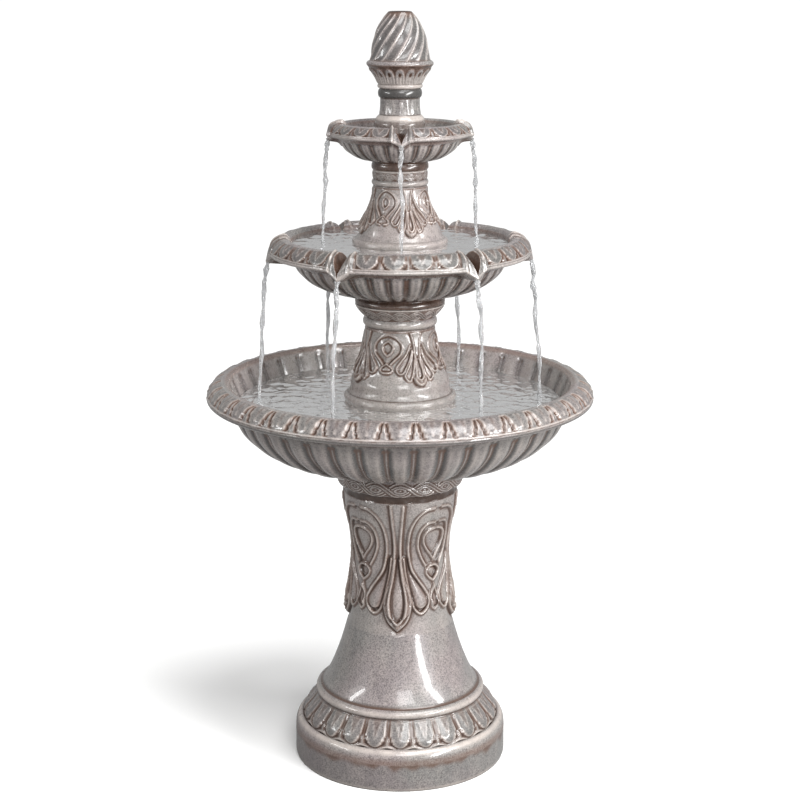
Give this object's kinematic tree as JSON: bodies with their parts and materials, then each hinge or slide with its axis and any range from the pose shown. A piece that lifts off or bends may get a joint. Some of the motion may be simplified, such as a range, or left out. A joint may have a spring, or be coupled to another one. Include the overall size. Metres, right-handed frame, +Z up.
{
  "type": "tiered water fountain",
  "caption": "Free-standing glazed ceramic garden fountain: hollow pedestal, stacked basins on columns, spouted rims, egg finial and a hidden recirculating pump with riser tube.",
  "frame": {"origin": "centre of the round foot, on the ground", "axes": "+Z up the fountain axis, -Y towards the front, +X to the right"},
  "size_m": [0.572, 0.572, 1.12],
  "materials": {
    "plinth_glaze": "reactive grey glaze, semi-gloss",
    "glaze": "speckled warm grey reactive glaze with rust breaks, glossy",
    "pump_plastic": "moulded satin",
    "dial_plastic": "moulded",
    "rubber": "matte",
    "tube_vinyl": "smooth extruded",
    "stator_steel": "stamped laminations",
    "coil_copper": "enamelled wire",
    "resin": "cast",
    "shaft_ceramic": "ground",
    "magnet_ferrite": "sintered"
  },
  "bodies": {
    "pedestal": {"pedestal": "plinth_glaze"},
    "basin": {"basin": "glaze", "cord_bung": "rubber", "cord_gland": "rubber", "riser_tube": "tube_vinyl", "pump_housing": "pump_plastic", "pump_chamber": "pump_plastic", "intake_strainer": "pump_plastic", "impeller_shaft": "shaft_ceramic", "stator_core": "stator_steel", "stator_coil": "coil_copper", "resin_seal": "resin", "suction_foot_1": "rubber", "suction_foot_2": "rubber", "suction_foot_3": "rubber", "suction_foot_4": "rubber"},
    "lower_column": {"lower_column": "glaze"},
    "middle_bowl": {"middle_bowl": "glaze", "middle_bowl_seal": "rubber"},
    "upper_column": {"upper_column": "glaze"},
    "top_bowl": {"top_bowl": "glaze", "top_bowl_seal": "rubber"},
    "stem": {"finial_stem": "glaze"},
    "finial": {"finial": "glaze", "outlet_bush": "pump_plastic"},
    "rotor": {"impeller": "pump_plastic", "rotor_magnet": "magnet_ferrite"},
    "dial": {"flow_dial": "dial_plastic"}
  },
  "joints": [
    {"name": "basin_turn", "type": "hinge", "parent": "pedestal", "child": "basin", "pos_m": [0, 0, 0.457], "axis": [0, 0, 1], "range_deg": [-90, 90]},
    {"name": "lower_column_lift", "type": "slide", "parent": "basin", "child": "lower_column", "axis": [0, 0, 1], "range_m": [0, 0.1]},
    {"name": "middle_bowl_turn", "type": "hinge", "parent": "lower_column", "child": "middle_bowl", "pos_m": [0, 0, 0.703], "axis": [0, 0, 1], "continuous": true},
    {"name": "upper_column_lift", "type": "slide", "parent": "middle_bowl", "child": "upper_column", "axis": [0, 0, 1], "range_m": [0, 0.08]},
    {"name": "top_bowl_turn", "type": "hinge", "parent": "upper_column", "child": "top_bowl", "pos_m": [0, 0, 0.898], "axis": [0, 0, 1], "continuous": true},
    {"name": "stem_lift", "type": "slide", "parent": "top_bowl", "child": "stem", "axis": [0, 0, 1], "range_m": [0, 0.05]},
    {"name": "finial_lift", "type": "slide", "parent": "stem", "child": "finial", "axis": [0, 0, 1], "range_m": [0, 0.08]},
    {"name": "impeller_spin", "type": "hinge", "parent": "basin", "child": "rotor", "pos_m": [0, 0, 0.516], "axis": [0, 1, 0], "continuous": true},
    {"name": "flow_dial_turn", "type": "hinge", "parent": "basin", "child": "dial", "pos_m": [0, 0, 0.516], "axis": [0, -1, 0], "range_deg": [0, 90]}
  ]
}
